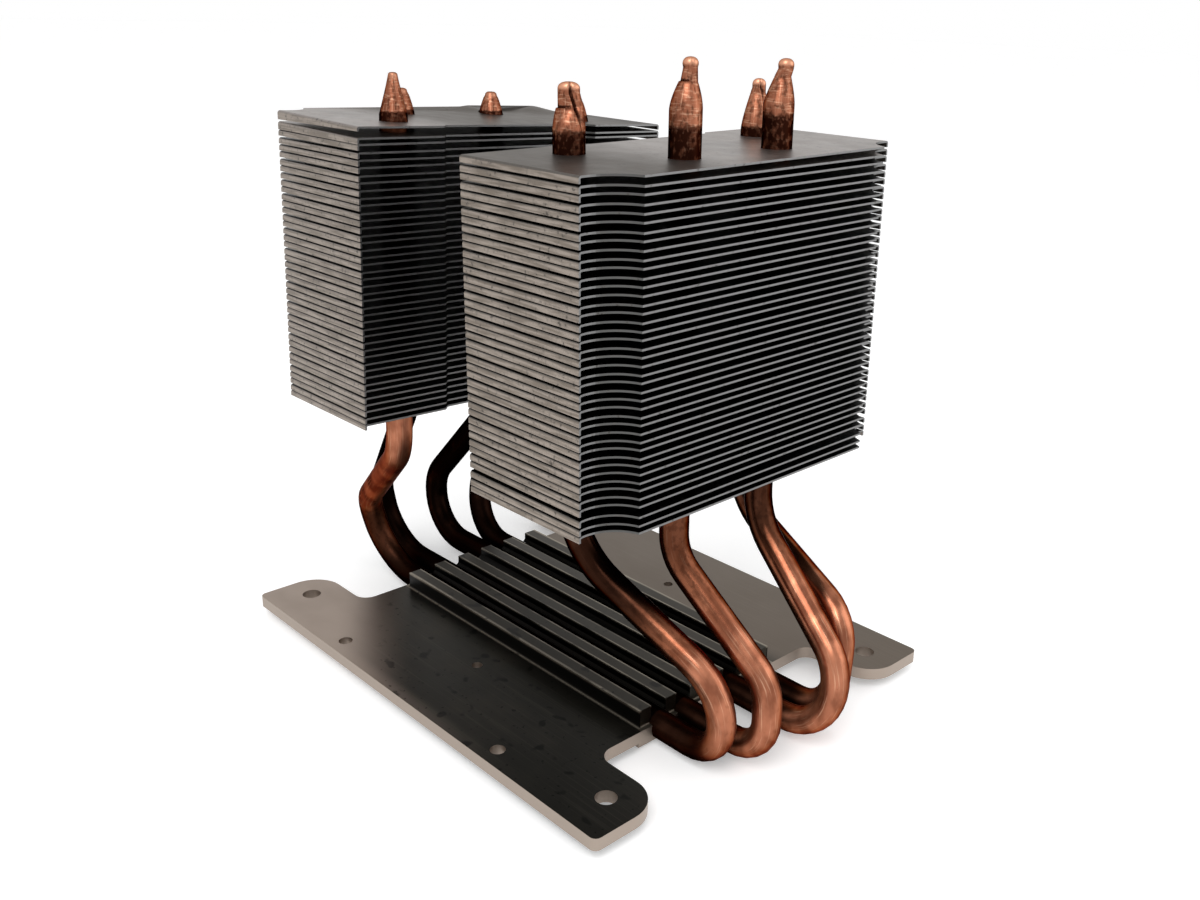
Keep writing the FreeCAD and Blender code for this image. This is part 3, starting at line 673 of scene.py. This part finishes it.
flat, triangles = flat_sheet()
made = bmesh.new()
for fin in (LOWER_FIN, UPPER_FIN):
    bent_fin(made, fin, flat, triangles)
bmesh.ops.remove_doubles(made, verts=made.verts, dist=0.0005 * MM)
bmesh.ops.recalc_face_normals(made, faces=made.faces)
mesh = bpy.data.meshes.new("top_rear_fins")
made.to_mesh(mesh)
made.free()
mesh.shade_smooth()
mesh.set_sharp_from_angle(angle=math.radians(30))
piece = bpy.data.objects.new("top_rear_fins", mesh)
bpy.context.scene.collection.objects.link(piece)
mesh.materials.append(rear_sheet)
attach(piece, "root")
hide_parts("rear_fins_41_42")

# Floor: a broad sheet of white paper that the assembly stands on. It keeps a soft shadow and runs out into
# the white background.
FLOOR_HALF = 6.0
FLOOR_DROP = 0.2 * MM
FLOOR_GLOW = 0.3
PAPER = "#f3f3f3"
PAPER_ROUGH = 0.9
WHITE = "#ffffff"


def seen_directly(tree):
    """1 for what the camera sees, also by way of metal and glass."""
    rays = add(tree, "LightPath").outputs
    seen = add(tree, "Math", {0: rays["Is Camera Ray"], 1: rays["Is Glossy Ray"]}, operation="ADD")
    return add(tree, "Math", {0: seen, 1: rays["Is Transmission Ray"]}, operation="ADD", use_clamp=True)


floor_mesh = bpy.data.meshes.new("floor")
corners = [(a * FLOOR_HALF, b * FLOOR_HALF, -FLOOR_DROP) for a, b in ((-1, -1), (1, -1), (1, 1), (-1, 1))]
floor_mesh.from_pydata(corners, [], [(0, 1, 2, 3)])
floor = bpy.data.objects.new("floor", floor_mesh)
bpy.context.scene.collection.objects.link(floor)
# Matt paper gives the eye an even white with no gloss.
white_paper = bpy.data.materials.new("matt white paper")
white_paper.use_nodes = True
tree = white_paper.node_tree
shader = tree.nodes["Principled BSDF"]
shader.inputs["Base Color"].default_value = linear(PAPER)
shader.inputs["Roughness"].default_value = PAPER_ROUGH
shader.inputs["Emission Color"].default_value = linear(WHITE)
glow = add(tree, "Math", {0: seen_directly(tree), 1: FLOOR_GLOW}, operation="MULTIPLY")
tree.links.new(glow.outputs[0], shader.inputs["Emission Strength"])
floor_mesh.materials.append(white_paper)

# Studio light: an even white room and two large soft lamps, the stronger one above and to the left. Both are
# turned to the middle of the assembly.
ROOM_LEVEL = 0.75
LIT_POINT = Vector((0, 0, 0.06))
world = bpy.data.worlds.new("white room")
bpy.context.scene.world = world
world.use_nodes = True
tree = world.node_tree
background = tree.nodes["Background"]
background.inputs["Color"].default_value = linear(WHITE)
level = add(tree, "MapRange", {"Value": seen_directly(tree), "To Min": ROOM_LEVEL, "To Max": 1.0})
tree.links.new(level.outputs[0], background.inputs["Strength"])
for name, spot, size, power in (
    ("key lamp", (-0.5, -0.35, 0.75), 0.5, 4.0),
    ("fill lamp", (0.45, -0.6, 0.35), 0.6, 1.5),
):
    lamp = bpy.data.objects.new(name, bpy.data.lights.new(name, "AREA"))
    bpy.context.scene.collection.objects.link(lamp)
    lamp.data.size = size
    lamp.data.energy = power
    lamp.location = spot
    lamp.rotation_euler = (LIT_POINT - Vector(spot)).to_track_quat("-Z", "Y").to_euler()

# Camera: a little above the stacks' tops, looking down across the left front corner. Its place is in metres
# and its turns about X, Y and Z in degrees.
CAMERA_PLACE = (-0.16928, -0.19320, 0.14579)
CAMERA_TURNS = (70.691, -1.746, -44.418)
scene = bpy.context.scene
scene.view_settings.view_transform = "Standard"
camera = bpy.data.objects.new("camera", bpy.data.cameras.new("camera"))
scene.collection.objects.link(camera)
camera.location = CAMERA_PLACE
camera.rotation_euler = [math.radians(turn) for turn in CAMERA_TURNS]
camera.data.sensor_width = 36
camera.data.lens = 35.839
camera.data.shift_x = -0.04694
camera.data.shift_y = -0.02148
camera.data.clip_start = 0.01
camera.data.clip_end = 200
scene.camera = camera
